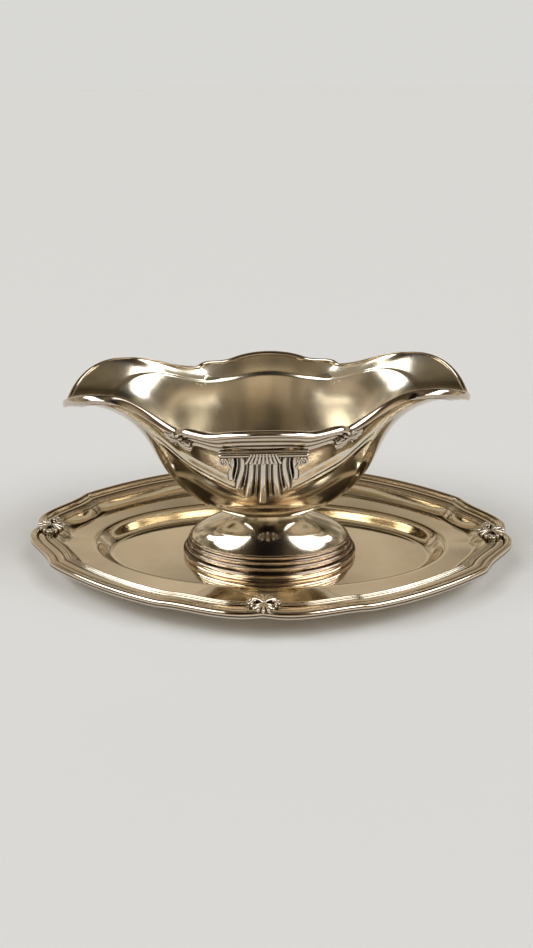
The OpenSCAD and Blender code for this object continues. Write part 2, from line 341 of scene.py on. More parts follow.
def tray_border():
    """Reeded moulding round the tray, wrapped over the edge of the sheet."""
    edge = EDGE_BEAD / 2 * (1 - np.cos(np.linspace(0, math.pi / 2, 12)))
    face = np.concatenate([edge, np.linspace(EDGE_BEAD / 2 + 0.1, BORDER, 62)])
    rise = bead_height(face)
    # Groove value between the beads: tarnish and painted shade in the hollows
    groove = smooth((0.35 - rise) / 0.35)
    rings = [tray_ring(d, FLANGE_Z - h) for d, h in ((0.95, 0.55), (0.3, 0.5), (0.0, 0.1))]
    rings += [tray_ring(d, FLANGE_Z + h) for d, h in zip(face, ground_height(face) + rise)]
    rings += [tray_ring(BORDER, FLANGE_Z + 0.02), tray_ring(1.0, FLANGE_Z + 0.52)]
    # The first rings, under the wrapped edge, get painted shade
    shade = np.concatenate([[0.3, 0.1, 0.0], groove, [0.0, 0.0]])
    shape = Builder()
    shape.grid(rings, groove=shade[:, None], wrap_rows=True)
    return shape.make("tray_moulding")


def tray_profile():
    """Rings of the sheet's upper face, from the middle of the well to the edge under the border."""
    rings = [well_ring(-WELL_Y + g, SHEET) for g in (0.8, 6, 14, 22, 29, 33)]
    ease = 1.2
    slope = np.linspace(0, 1, 22)
    rise = SHEET + (SILL_Z - SHEET) * (0.82 * smooth(slope) + 0.18 * slope)
    rings += [well_ring(-ease + (WELL_SLOPE + 2 * ease) * s, z) for s, z in zip(slope, rise)]
    foot_z = SILL_Z + LEDGE_CLIMB
    inner = well_ring(WELL_SLOPE + ease, SILL_Z)
    outer = tray_ring(BORDER + CAVETTO + 0.6, foot_z, OVAL_EASE)
    rings += [inner * (1 - s) + outer * s for s in np.linspace(0.12, 1, 12)]
    rings += [
        tray_ring(
            BORDER + 0.2 + (CAVETTO + 0.4) * (1 - s),
            foot_z + (FLANGE_Z - foot_z) * (0.35 * s + 0.65 * s ** 1.8),
            OVAL_EASE * (1 - s),
        )
        for s in np.linspace(0.06, 1, 20)
    ]
    rings += [tray_ring(BORDER - 1, FLANGE_Z), tray_ring(1.0, FLANGE_Z + 0.5)]
    return np.array(rings)


def tray_dish():
    """The tray's sheet: flange, cavetto, ledge and sunken well."""
    top = tray_profile()
    under = top - [0, 0, SHEET]
    shape = Builder()
    shape.grid(np.concatenate([under, top[::-1]]), caps=True)
    return shape.make("tray_sheet")


# ---- shell ornaments ----

def rounded(t, start, end):
    """Factor that rounds off the ends of a rod; start and end are the shares taken by each end."""
    head = np.sqrt(np.clip(1 - (1 - np.clip(t / start, 0, 1)) ** 2, 0.01, 1))
    tail = np.sqrt(np.clip(1 - (1 - np.clip((1 - t) / end, 0, 1)) ** 2, 0.01, 1))
    return head * tail


def spiral(middle, across, up, radius, start, turns, side, steps=70):
    """Points on a coil that winds in from radius about middle, and their shares of its length."""
    t = np.linspace(0, 1, steps)
    angle = start + side * TAU * turns * t
    reach = radius * (1 - 0.8 * t)
    return middle + reach[:, None] * (np.cos(angle)[:, None] * across + np.sin(angle)[:, None] * up), t


def palmette(shape, at, across, up, half, upper, lower):
    """Shell ornament: two fans of petals from a pinched knot, with a volute at each side.

    half is its half width; upper and lower are its fans, each as petal_fan takes it.
    """
    at, across, up = (np.asarray(v, float) for v in (at, across, up))
    out = np.cross(across, up)
    petal_fan(shape, at, across, up, out, half, upper)
    petal_fan(shape, at, across, -up, out, half, lower)
    for side in (-1, 1):
        volute(shape, at, across, up, half, side)
    knob(shape, at + out * 0.8, across, up, out, 0.13 * half, 0.14 * half)
    plate(shape, at, across, up, out, half, upper[1], lower[1])


def petal_fan(shape, at, across, along, out, half, fan):
    """Petals that spread about along; fan is their number, the middle one's reach and the spread."""
    count, reach, spread = fan
    step = math.radians(spread) / (count - 1)
    t = np.linspace(0.1, 1, 26)
    for k in range(count):
        lean = (k - (count - 1) / 2) * step
        turn = lean + 0.35 * lean * t * t
        length = reach * (1 - 0.16 * (abs(lean) / math.radians(90)) ** 2)
        line = across * np.sin(turn)[:, None] + along * np.cos(turn)[:, None]
        crest = 0.9 + 0.75 * np.sin(math.pi * t ** 0.8) - 0.75 * t
        path = at + line * (length * t)[:, None] + out * (crest * half / 8)[:, None]
        width = length * (0.05 + 0.47 * step * t) * rounded(t, 0.15, 0.16)
        shape.rib(path, width, width * 1.4 + 0.2, out, groove=0.9)


def volute(shape, at, across, up, half, side):
    """Coil at one side of a palmette, on a low boss with an eye in its middle."""
    out = np.cross(across, up)
    eye = at + across * (side * 0.76 * half) + up * (0.08 * half) + out * 1.1
    path, t = spiral(eye, across, up, 0.27 * half, math.pi / 2 + side * 1.2, 1.5, -side)
    thick = 0.08 * half * (1.15 - 0.4 * t)
    shape.rib(path, thick, thick * 1.6, out, groove=0.8)
    knob(shape, eye - out * 0.6, across, up, out, 0.27 * half, 0.12 * half)
    knob(shape, eye, across, up, out, 0.08 * half, 0.1 * half)


def knob(shape, middle, across, up, out, radius, rise):
    """Low rounded boss."""
    angle = TAU * np.arange(20) / 20
    ring = np.cos(angle)[:, None] * across + np.sin(angle)[:, None] * up
    levels = np.linspace(-0.9, math.pi / 2 - 0.12, 9)
    rings = [middle + radius * math.cos(v) * ring + out * (rise * math.sin(v)) for v in levels]
    # A mild groove value over the whole boss: tarnish and painted shade
    shape.grid(rings, groove=0.35, caps=True)


def plate(shape, at, across, up, out, half, above, below):
    """Thin cushion behind the petals."""
    angle = TAU * np.arange(64) / 64
    reach = np.where(np.sin(angle) > 0, above, below)
    size = 1 / np.sqrt((np.cos(angle) / half) ** 2 + (np.sin(angle) / reach) ** 2)
    edge = (size * np.cos(angle))[:, None] * across + (size * np.sin(angle))[:, None] * up
    section = [(0.86, -1.2), (0.9, 0.0), (0.86, 0.35), (0.6, 0.75), (0.3, 0.9)]
    rings = [at + edge * share + out * rise for share, rise in section]
    # The whole cushion gets a strong groove value: tarnish and painted shade behind the petals
    shape.grid(rings, groove=0.9, caps=True)


# A palmette's half width, then its upper and its lower fan
TRAY_PALMETTE = (8.0, (6, 7.2, 84), (7, 6.8, 104))
TRAY_SHELL_INSET = 6.4
TRAY_SHELL_Z = FLANGE_Z + 1.3
TRAY_SHELL_TIP = 0.08


def tray_shell(name, notch, inward):
    """Palmette on the tray's border at one of its four notches."""
    at = np.array(notch) + np.array(inward) * TRAY_SHELL_INSET + [0, 0, TRAY_SHELL_Z]
    up = unit(np.array(inward) - [0, 0, TRAY_SHELL_TIP])
    shape = Builder()
    palmette(shape, at, np.cross(inward, [0, 0, 1]), up, *TRAY_PALMETTE)
    return shape.make(name)


# ---- bowl ----

LIP_SHOULDER = (0.732 * BOAT_X, 0.517 * BOAT_Y, LIP_Z)
RIM_NOTCH = (0.385 * BOAT_X, 0.795 * BOAT_Y, SIDE_Z - 4.4)
CREST_FOOT = (0.203 * BOAT_X, 0.935 * BOAT_Y, SIDE_Z - 2.5)
LIP_STEPS = 60
FLANK_STEPS = 48
PANEL_STEPS = 30
CREST_STEPS = 30
DRAWN_RIM = loop_of(
    chain(
        [
            [
                (BOAT_X, 0, TIP_Z),
                (BOAT_X, 14, TIP_Z + 2.5),
                (0.945 * BOAT_X, 26, LIP_Z + 0.6),
                LIP_SHOULDER,
            ],
            [
                LIP_SHOULDER,
                (0.61 * BOAT_X, 28.5, LIP_Z - 1.4),
                (0.508 * BOAT_X, 34.5, SIDE_Z - 2),
                RIM_NOTCH,
            ],
            [
                RIM_NOTCH,
                (0.36 * BOAT_X, 45, SIDE_Z),
                (0.28 * BOAT_X, 47.6, SIDE_Z - 4.2),
                CREST_FOOT,
            ],
            [
                CREST_FOOT,
                (0.163 * BOAT_X, 51.8, SIDE_Z - 1.2),
                (0.091 * BOAT_X, BOAT_Y, SIDE_Z),
                (0, BOAT_Y, SIDE_Z),
            ],
        ],
        [LIP_STEPS, FLANK_STEPS, PANEL_STEPS, CREST_STEPS],
    )
)
RIM_COUNT = len(DRAWN_RIM)
QUARTER = RIM_COUNT // 4
SOFT_RIM = softened(DRAWN_RIM, 20)
RIM = softened(DRAWN_RIM, 3)


def control_rings():
    """The four rings of control points that the bowl's outer surface is drawn through."""
    angle = np.arctan2(SOFT_RIM[:, 1] / BOAT_Y, SOFT_RIM[:, 0] / BOAT_X)
    turn = np.abs(np.sin(angle)) ** 1.5
    drop = TUCK_DROP[0] * (1 - turn) + TUCK_DROP[1] * turn
    rise = KEEL_RISE[0] * (1 - turn) + KEEL_RISE[1] * turn
    tuck_x = TUCK[0] * (RIM_SHARE * SOFT_RIM[:, 0] / BOAT_X + (1 - RIM_SHARE) * np.cos(angle))
    tuck_y = TUCK[1] * (RIM_SHARE * SOFT_RIM[:, 1] / BOAT_Y + (1 - RIM_SHARE) * np.sin(angle))
    tuck = np.column_stack([tuck_x, tuck_y, SOFT_RIM[:, 2] - drop])
    keel = np.column_stack([KEEL[0] * np.cos(angle), KEEL[1] * np.sin(angle), COLLAR[2] + rise])
    flat = np.full(RIM_COUNT, COLLAR[2])
    base = np.column_stack([COLLAR[0] * np.cos(angle), COLLAR[1] * np.sin(angle), flat])
    return RIM, tuck, keel, base


CONTROLS = control_rings()


def wall_points(shares):
    """Points on the plain outer surface; the rim's corners die out a little way down."""
    shares = np.asarray(shares, float)
    late = (1 - shares) ** 3 * (1 - bump(shares, 0, 0.09))
    return bezier(CONTROLS, shares) + late[..., None, None] * (SOFT_RIM - RIM)


def bowl_surface(shares):
    """Points and outward normals of the plain outer surface at shares from rim (0) to collar (1)."""
    points = wall_points(shares)
    down = wall_points(np.asarray(shares) + 0.004) - points
    round_step = np.roll(points, -1, axis=1) - np.roll(points, 1, axis=1)
    return points, unit(np.cross(down, round_step))


# The ridge's height at the middle, its rise beyond, and where it bends up to the lips
RIDGE_LOW = 60.0
RIDGE_RISE = 13.2
RIDGE_SPREAD = 24.0
RIDGE_BEND = 36.0


def ridge_height(x):
    """Height of the ridge that frames the lens-shaped panel on each side."""
    past = x - RIDGE_BEND
    sweep = 0.33 * (past + np.sqrt(past * past + 16))
    return RIDGE_LOW + RIDGE_RISE * (1 - bump(x, 0, RIDGE_SPREAD)) + sweep


PANEL_DEPTH = 1.3
RIB_RISE = 0.5
FINE_RIB_RISE = 0.35
FOLD_RISE = 0.9


def side_relief(points):
    """The sunken panel over each ridge, and the two ribs of the ridge itself."""
    x = np.abs(points[..., 0])
    above = (points[..., 2] - ridge_height(x)) * 0.85
    sunken = smooth(above / 2.2) * (1 - smooth((above - 9) / 14)) * smooth((41 - x) / 8)
    ribs = RIB_RISE * bump(above, -0.3, 0.8) + FINE_RIB_RISE * bump(above, -2.6, 1.1)
    return ribs * smooth((56 - x) / 14) - PANEL_DEPTH * sunken


def lip_folds(shares):
    """The soft fold that runs down from each shoulder of the lips."""
    index = np.arange(RIM_COUNT) % (2 * QUARTER)
    from_lip = np.minimum(index, 2 * QUARTER - index)[None, :]
    share = shares[:, None]
    fold = np.exp(-np.abs(from_lip - LIP_STEPS * (0.72 + 0.63 * share)) / 7.0)
    return FOLD_RISE * fold * smooth((0.72 - share) / 0.3) * smooth((share - 0.06) / 0.1)


def bowl():
    """The raised bowl: chased outer face, rolled edge and satin inside, its second material."""
    shares = np.concatenate([np.linspace(0, 0.16, 26), np.linspace(0.166, 1, 140)])
    points, out = bowl_surface(shares)
    outer = points + out * (side_relief(points) + lip_folds(shares))[..., None]
    flare = 0.45 * smooth((0.15 - shares) / 0.025)
    inner = points - out * (WALL - flare[:, None, None])
    middle = inner[-1].mean(axis=0)
    inner_floor = [inner[-1] * (1 - s) + middle * s for s in (0.15, 0.35, 0.6, 0.85)]
    shape = Builder()
    shape.grid(outer[::-1])
    shape.cap(0, RIM_COUNT, outer[-1].mean(axis=0), True)
    inner_start = shape.count
    satin_start = len(shape.faces)
    shape.grid(np.concatenate([inner, inner_floor]))
    shape.cap(shape.count - RIM_COUNT, RIM_COUNT, middle, False)
    satin_end = len(shape.faces)
    outer_start = (len(shares) - 1) * RIM_COUNT
    for j in range(RIM_COUNT):
        k = (j + 1) % RIM_COUNT
        shape.faces.append((outer_start + j, outer_start + k, inner_start + k, inner_start + j))
    piece = shape.make("bowl_shell_body", on_foot)
    for face in piece.data.polygons[satin_start:satin_end]:
        face.material_index = 1
    return piece


ROLL = (-0.1, 1.75, 1.15)
BAND_REEDS = [(2.1, 4.2, 0.6), (4.5, 6.9, 0.55), (7.2, BAND - 0.1, 0.4)]
BAND_STEP = 0.7
# The roll's way over the edge and down inside: (length down from the rim, distance out)
ROLL_OVER = [(2.0, -1.5), (1.4, -1.8), (0.6, -1.85), (-0.1, -1.5), (-0.4, -0.95), (-0.45, -0.2), (-0.3, 0.5)]


def band_height(length):
    """How far the rim band stands out, at a length down from the rim."""
    return BAND_STEP * smooth((BAND - length) / 0.4) + beads(length, [ROLL] + BAND_REEDS)


def bowl_border():
    """Rolled edge and reeds round the rim, inside lip included."""
    length = np.concatenate([np.linspace(0, 1.8, 18), np.linspace(1.88, BAND, 54)])
    height = band_height(length)
    under = [(BAND, -0.2), (2.0, -0.8)]
    rings = [band_ring(span, out) for span, out in ROLL_OVER + list(zip(length, height)) + under]
    # Groove value between the reeds: tarnish and painted shade; the first ring under the band gets painted
    # shade
    groove = np.concatenate([
        np.zeros(len(ROLL_OVER)),
        smooth((0.95 - height) / 0.3) * smooth((BAND - 0.4 - length) / 0.3),
        [0.4, 0.0],
    ])
    shape = Builder()
    shape.grid(rings, groove=groove[:, None], wrap_rows=True)
    return shape.make("rim_moulding", on_foot)


def band_ring(span, out):
    """One ring of the rim band: down the surface by span, and out from it."""
    drop = CONTROLS[1] - CONTROLS[0]
    share = max(0.0, span) / (3 * np.linalg.norm(drop, axis=1)[:, None])
    point = cubic(CONTROLS, share)
    ahead = cubic(CONTROLS, share + 0.004)
    round_step = np.roll(point, -1, axis=0) - np.roll(point, 1, axis=0)
    normal = unit(np.cross(ahead - point, round_step))
    return point + unit(drop) * min(0.0, span) + normal * out


RIM_PALMETTE = (6.7, (4, 4.6, 70), (9, 8.0, 150))
BOWL_SHELL_SHARE = 0.07
BOWL_SHELL_INDEX = LIP_STEPS + round(FLANK_STEPS * 0.92)


def bowl_shell(name, index):
    """Palmette on the rim band beside one of the four notches."""
    points, out = bowl_surface([BOWL_SHELL_SHARE])
    normal = out[0, index]
    across = unit(points[0, index + 3] - points[0, index - 3])
    shape = Builder()
    palmette(shape, points[0, index] + normal * 0.8, across, np.cross(normal, across), *RIM_PALMETTE)
    return shape.make(name, on_foot)


# ---- ear handles ----

SIDE_PROFILE = [c[QUARTER] for c in CONTROLS]
LEDGE_Y = bezier(SIDE_PROFILE, 0.1)[1]
LEDGE_FRONT = LEDGE_Y + 3.3
EAR_BACK = np.array([0.0, 1.0, 0.0])


def side_wall(x, z):
    """Distance of the bowl's outer face from the middle plane, at a length x and a height z."""
    shares = np.linspace(0, 1, 400)
    line = bezier(SIDE_PROFILE, shares)
    share = np.interp(-z, -line[:, 2], shares)
    reach = bezier([BOAT_X, TUCK[0], KEEL[0], COLLAR[0]], share)
    return np.interp(share, shares, line[:, 1]) * np.sqrt(np.clip(1 - (x / reach) ** 2, 0, 1))


# Each lobe of the ear, from the middle outwards: control points of its path's length,
# height of its round end, and its half width at the top, the middle and the end
EAR_LOBES = [
    ((0, 0, 0, 0), EAR_TIP, (1.4, 1.9, 2.9)),
    ((5.6, 4.6, 6.0, 6.7), EAR_TIP + 3.6, (1.2, 1.7, 2.4)),
    ((9.9, 7.8, 10.8, 11.2), EAR_TIP + 8.4, (1.1, 1.5, 1.9)),
    ((14.6, 12.2, 15.3, 14.6), EAR_TIP + 14.0, (0.9, 1.25, 1.5)),
]
# Where the fine reeds lie between two neighbouring lobes, as shares of the way across
EAR_REEDS = [(0.47, 0.6), (0.5,), (0.5,)]


def ear_stand_off(z):
    """How far the middle of a lobe stands out from the bowl at a height z."""
    drop = np.clip((EAR_TOP - z) / (EAR_TOP - EAR_TIP), 0, 1)
    return 1.5 + 1.3 * np.sin(math.pi * drop) + 0.5 * drop


def ear_path(controls, low, t):
    """Points on the middle line of a lobe or reed."""
    x = bezier(controls, t)
    z = EAR_TOP + (low - EAR_TOP) * t
    return np.column_stack([x, side_wall(x, z) + ear_stand_off(z), z])


def ear_lobe(shape, side, controls, low, halves):
    """One convex lobe, swelling to a round end."""
    top, middle, end = halves
    t = np.linspace(0, 1, 56)
    turn = np.linspace(0.2, 1.45, 8)
    shaft = ear_path(side * np.array(controls), low + end, t)
    tip = shaft[-1] + unit(shaft[-1] - shaft[-2]) * (end * np.sin(turn))[:, None]
    swell = bezier([top, middle * 0.95, middle * 0.95, end], t)
    half = np.concatenate([swell, end * np.cos(turn)])
    half *= np.clip(0.3 + np.arange(len(half)) * 6 / (EAR_TOP - low), 0, 1)
    shape.rib(np.vstack([shaft, tip]), half, half * 1.25, EAR_BACK, groove=1.0, sides=18)


def ear_reeds(shape, side, inner, outer, shares):
    """Fine reeds that fill the gap between two lobes."""
    t = np.linspace(0, 1, 40)
    half = (0.42 + 0.22 * t) * rounded(t, 0.05, 0.06)
    for share in shares:
        controls = side * (np.array(inner[0]) * (1 - share) + np.array(outer[0]) * share)
        low = inner[1] * (1 - share) + outer[1] * share + 1.3
        path = ear_path(controls, low, t) - EAR_BACK * 0.45
        shape.rib(path, half, half * 1.7, EAR_BACK, groove=1.0, sides=10)


def ear_body(shape):
    """Smooth body behind the lobes, with the outline that their ends follow."""
    z = np.linspace(EAR_TOP + 1.5, EAR_TIP + 2.2, 50)[:, None]
    across = np.linspace(-1, 1, 60)[None, :]
    ends = sorted((low + halves[2], controls[3]) for controls, low, halves in EAR_LOBES)
    half = np.interp(z, [end[0] for end in ends], [end[1] + 0.7 for end in ends])
    waist = 1 - 0.08 * bump(z, EAR_TOP - 6, 3.5)
    x = across * half * waist
    wall = side_wall(x, z)
    crown = np.sqrt(np.clip(1 - np.abs(across) ** 6, 0, 1))
    face = wall + (ear_stand_off(z) - 0.5) * crown
    front = np.stack(np.broadcast_arrays(x, face, z), axis=2)
    back = np.stack(np.broadcast_arrays(x, wall - 0.6, z), axis=2)[:, ::-1]
    # The body behind the lobes gets a groove value: tarnish and painted shade
    shape.grid(np.concatenate([front, back], axis=1)[::-1], groove=0.7, caps=True)


# Section of the ledge as (distance in front of its front face, height above its top)
LEDGE_SECTION = [
    (-4.0, -3.1), (-1.5, -3.1), (-1.0, -2.95), (-0.85, -2.7), (-0.95, -2.5), (-0.6, -2.4), (-0.05, -2.1),
    (0.2, -1.65), (0.1, -1.2), (-0.3, -0.85), (-0.9, -0.7), (-1.35, -0.62), (-1.5, -0.5), (-1.38, -0.36),
    (-1.4, -0.15), (-1.65, 0.0), (-2.0, 0.03), (-2.6, -0.05), (-4.0, -0.05), (-4.0, -0.6),
]
# The points of the section that lie in a groove, and the point that its rounded ends draw in to
LEDGE_GROOVES = (3, 4, 11, 12, 17)
LEDGE_MIDDLE = (-1.8, -1.1)


def ear_ledge(shape):
    """Thumb ledge: a fine upper bead, a groove, a broad roll and a fillet, with rounded ends."""
    section = np.array(LEDGE_SECTION)
    middle = np.array(LEDGE_MIDDLE)
    along = np.sin(np.linspace(-math.pi / 2, math.pi / 2, 90))
    shrink = np.sqrt(np.clip(1 - np.abs(along) ** 40, 0.02, 1))
    rings = []
    for share, size in zip(along, shrink):
        drawn = middle + (section - middle) * size + [LEDGE_FRONT, LEDGE_Z]
        rings.append(np.column_stack([np.full(len(section), share * EAR_WIDTH / 2), drawn])[::-1])
    # Groove value in the ledge's grooves: tarnish and painted shade
    shade = np.isin(np.arange(len(section)), LEDGE_GROOVES) * 0.9
    shape.grid(rings, groove=shade[None, ::-1], caps=True)


# The volute's middle and its radius, and the radius of the boss behind it
EYE_X = 17.6
EYE_Z = LEDGE_Z - 4.8
EYE_REACH = 1.9
BOSS_REACH = 1.75


def ear_scroll(shape, side):
    """C-scroll that rises from the outer lobe and curls into a volute under the ledge's end."""
    across = np.array([side, 0.0, 0.0])
    up = np.array([0.0, 0.0, 1.0])
    y = LEDGE_FRONT - 0.9
    eye = np.array([side * EYE_X, y, EYE_Z])
    outside = EYE_X - EYE_REACH
    stem = [(13.9, y, EYE_Z - 3.6), (14.4, y, EYE_Z - 2), (outside, y, EYE_Z - 1.4), (outside, y, EYE_Z)]
    rise = bezier(stem, np.linspace(0, 0.96, 24)) * [side, 1, 1]
    coil = spiral(eye, across, up, EYE_REACH, math.pi, 1.55, -1)[0]
    path = np.vstack([rise, coil])
    t = np.linspace(0, 1, len(path))
    shape.rib(path, (0.62 - 0.22 * t) * rounded(t, 0.1, 0.05), 0.8, EAR_BACK, groove=0.8, sides=12)
    knob(shape, eye + EAR_BACK * 0.3, across, up, EAR_BACK, 0.5, 0.5)
    boss = [(1.0, side_wall(EYE_X, EYE_Z) - 0.4), (1.0, y - 0.1), (0.9, y + 0.05), (0.4, y + 0.1)]
    rings = [
        oval(BOSS_REACH * share, -BOSS_REACH * share, depth, 36)[:, [0, 2, 1]] + [side * EYE_X, 0, EYE_Z]
        for share, depth in boss
    ]
    # The boss behind the volute gets a groove value: tarnish and painted shade
    shape.grid(rings, groove=0.8, caps=True)


GADROONS = 9


def ear_gadroons(shape):
    """Small lobes that fan out over the middle of the ledge and down onto the shell."""
    t = np.linspace(0, 1, 30)
    z = LEDGE_Z - 0.5 - 5.3 * t
    y = LEDGE_FRONT + 0.15 - 0.9 * t * t
    half = (0.5 + 0.4 * t) * rounded(t, 0.12, 0.2)
    for k in range(GADROONS):
        x = (k - (GADROONS - 1) / 2) * (1.3 + 0.65 * t)
        shape.rib(np.column_stack([x, y, z]), half, half * 1.1, EAR_BACK, groove=1.0)


# How far the front ear was soldered off the middle at its ledge, and how far it leans by its tip
EAR_SHIFT = 0.7
EAR_SKEW = 1.7


def on_front(points):
    """Turns an ear half round to the front of the bowl, where it sits slightly askew."""
    drop = (LEDGE_Z - points[:, 2]) / (LEDGE_Z - EAR_TIP)
    x = EAR_SHIFT - EAR_SKEW * drop - points[:, 0]
    return on_foot(np.column_stack([x, -points[:, 1], points[:, 2]]))


def handle(name, place):
    """One ear handle, made at the back of the bowl and moved by place."""
    shape = Builder()
    ear_body(shape)
    ear_lobe(shape, 1, *EAR_LOBES[0])
    for side in (-1, 1):
        for inner, outer, shares in zip(EAR_LOBES, EAR_LOBES[1:], EAR_REEDS):
            ear_reeds(shape, side, inner, outer, shares)
            ear_lobe(shape, side, *outer)
        ear_scroll(shape, side)
    ear_ledge(shape)
    ear_gadroons(shape)
    return shape.make(name, place)


# ---- collar and foot ----

OVAL_COUNT = 200
COLLAR_RISE = 1.6


def collar():
    """Turned ring between the bowl and the foot."""
    level = np.linspace(-1.5, 0.5, 24)
    swell = COLLAR_RISE * np.sqrt(np.clip(1 - ((level + 0.35) / 1.2) ** 2, 0, 1))
    core = (NECK[0] + 1.5, NECK[1] + 0.7)
    rings = [oval(core[0] + s, core[1] + s, NECK_Z + v, OVAL_COUNT) for v, s in zip(level, swell)]
    shape = Builder()
    shape.grid(rings, caps=True)
    return shape.make("neck_collar", on_foot)


# The dome's half-axes and height, from the neck down to its edge on the ring
DOME_EDGE = (FOOT_X - 4.5, FOOT_Y - 5.8, DOME_Z)
DOME_CURVE = [(NECK[0], NECK[1], NECK_Z - 1), (17.8, 14.5, 21.5), (36, 16.5, 22.5), DOME_EDGE]


def foot():
    """Spool that flares into the domed top of the pedestal."""
    line = bezier(DOME_CURVE, np.linspace(1, 0, 70))
    thinner = line - FOOT_WALL
    thinner[0, 2] = DOME_Z
    rings = [oval(a, b, z, OVAL_COUNT) for a, b, z in np.vstack([line, thinner[:0:-1], thinner[:1]])]
    shape = Builder()
    shape.grid(rings, wrap_rows=True)
    return shape.make("pedestal_dome", turned)


# Each step as (lower edge, upper edge, inset), then the steps' roundness and their depth at the sides
RING_STEPS = [(0.0, 3.6, 0.0), (3.6, 6.6, 1.7), (6.6, 9.2, 2.9), (9.2, DOME_Z - FOOT_Z, 3.9)]
RING_ROUND = 0.6
RING_TAPER = 1.3
RING_WALL = 3.5


def foot_ring():
    """Stepped base moulding: four rounded steps, each set in from the one below."""
    rings = []
    shade = []
    for low, high, inset in RING_STEPS:
        for u in np.linspace(0, 1, 16):
            back = RING_ROUND * (1 - math.sin(math.pi * (0.12 + 0.76 * u)))
            depth = inset + back
            level = FOOT_Z + low + (high - low) * u
            rings.append(oval(FOOT_X - depth, FOOT_Y - depth * RING_TAPER, level, OVAL_COUNT))
            # Where each step turns in: tarnish and painted shade in the groove
            shade.append(0.7 * smooth((back - 0.22) / 0.18) if low or u > 0.5 else 0.0)
    inner_x = FOOT_X - RING_WALL
    inner_y = FOOT_Y - RING_WALL
    inside = [
        DOME_EDGE,
        (DOME_EDGE[0] - FOOT_WALL, DOME_EDGE[1] - FOOT_WALL, DOME_Z),
        (inner_x - 1.5, inner_y - 2.2, FOOT_Z + 6),
        (inner_x, inner_y, FOOT_Z + 2),
        (inner_x, inner_y, FOOT_Z),
    ]
    rings += [oval(a, b, z, OVAL_COUNT) for a, b, z in inside]
    # Painted shade under the dome's edge and inside the ring
    shade += [0.6, 0.3, 0.3, 0.2, 0.0]
    shape = Builder()
    shape.grid(rings, groove=np.array(shade)[:, None], wrap_rows=True)
    return shape.make("pedestal_base", turned)


# ---- materials ----

def add(tree, kind, **inputs):
    """A shader node with some of its inputs set."""
    made = tree.nodes.new(kind)
    for key, value in inputs.items():
        made.inputs[key].default_value = value
    return made


def noise(tree, coords, scale, detail=3.0, stretch=None):
    """Factor of a noise texture over coords, which stretch scales first if it is given."""
    source = coords
    if stretch is not None:
        mapping = tree.nodes.new("ShaderNodeMapping")
        mapping.inputs["Scale"].default_value = stretch
        tree.links.new(coords, mapping.inputs["Vector"])
        source = mapping.outputs["Vector"]
    made = add(tree, "ShaderNodeTexNoise", Scale=scale, Detail=detail)
    tree.links.new(source, made.inputs["Vector"])
    return made.outputs["Fac"]


def ramp(tree, factor, stops):
    """Colour ramp through (position, colour or number) stops."""
    made = tree.nodes.new("ShaderNodeValToRGB")
    elements = made.color_ramp.elements
    for k, (place, value) in enumerate(stops):
        colour = (value, value, value) if isinstance(value, (int, float)) else value
        element = elements[k] if k < 2 else elements.new(place)
        element.position = place
        element.color = (*colour, 1)
    tree.links.new(factor, made.inputs["Fac"])
    return made.outputs["Color"]


def mix(tree, factor, a, b, mode="MIX"):
    """Mixes two colours; each may be a socket or a constant."""
    made = tree.nodes.new("ShaderNodeMix")
    made.data_type = "RGBA"
    made.blend_type = mode
    for key, value in ((0, factor), (6, a), (7, b)):
        if isinstance(value, bpy.types.NodeSocket):
            tree.links.new(value, made.inputs[key])
        else:
            made.inputs[key].default_value = value if key == 0 else (*value, 1)
    return made.outputs[2]


# Near-black brown for the groove value: tarnish in the hollows, and painted shade in crevices, under edges
# and behind raised pieces
TARNISH_AND_SHADE = (0.05, 0.031, 0.014)
# Scales of the noise over an object's own coordinates, and the depths of its marks in metres
CLOUD_SCALE = 38
HAZE_SCALE = 26
DENT_SCALE = 42
DENT_DEPTH = 0.0006
DENT_STRENGTH = 0.12
FINE_SCALE = 900
CROSS_SCALE = 800
SCRATCH_DEPTH = 0.00004


def silver(name, tint, worn_tint, rough, scratch):
    """Silver plate: warm clouding, wear, tarnish and painted shade in the grooves, and fine random
    scratches.
    """
    material = bpy.data.materials.new(name)
    material.use_nodes = True
    tree = material.node_tree
    shader = tree.nodes["Principled BSDF"]
    shader.inputs["Metallic"].default_value = 1.0
    coords = tree.nodes.new("ShaderNodeTexCoord").outputs["Object"]
    clouds = ramp(tree, noise(tree, coords, CLOUD_SCALE, 4), [(0.35, 0.0), (0.7, 1.0)])
    groove = tree.nodes.new("ShaderNodeAttribute")
    groove.attribute_name = "groove"
    # The groove value darkens the base colour: tarnish in the hollows, and painted shade in crevices, under
    # edges and behind raised pieces
    tarnish_and_shade = ramp(tree, groove.outputs["Fac"], [(0.1, 0.0), (0.8, 1.0)])
    colour = mix(tree, tarnish_and_shade, mix(tree, clouds, tint, worn_tint), TARNISH_AND_SHADE)
    tree.links.new(colour, shader.inputs["Base Color"])
    haze = ramp(tree, noise(tree, coords, HAZE_SCALE, 6), [(0.3, rough[0]), (0.75, rough[1])])
    tree.links.new(haze, shader.inputs["Roughness"])
    tree.links.new(surface_marks(tree, coords, scratch), shader.inputs["Normal"])
    return material


def surface_marks(tree, coords, scratch):
    """Normal of a face with fine scratches both ways and faint, wide dents."""
    fine = noise(tree, coords, FINE_SCALE, 2, (1.0, 0.06, 0.5))
    cross = noise(tree, coords, CROSS_SCALE, 2, (0.07, 1.0, 0.6))
    scratches = add(tree, "ShaderNodeBump", Strength=scratch, Distance=SCRATCH_DEPTH)
    tree.links.new(mix(tree, 0.5, fine, cross), scratches.inputs["Height"])
    dents = add(tree, "ShaderNodeBump", Strength=DENT_STRENGTH, Distance=DENT_DEPTH)
    tree.links.new(noise(tree, coords, DENT_SCALE, 2), dents.inputs["Height"])
    tree.links.new(scratches.outputs["Normal"], dents.inputs["Normal"])
    return dents.outputs["Normal"]


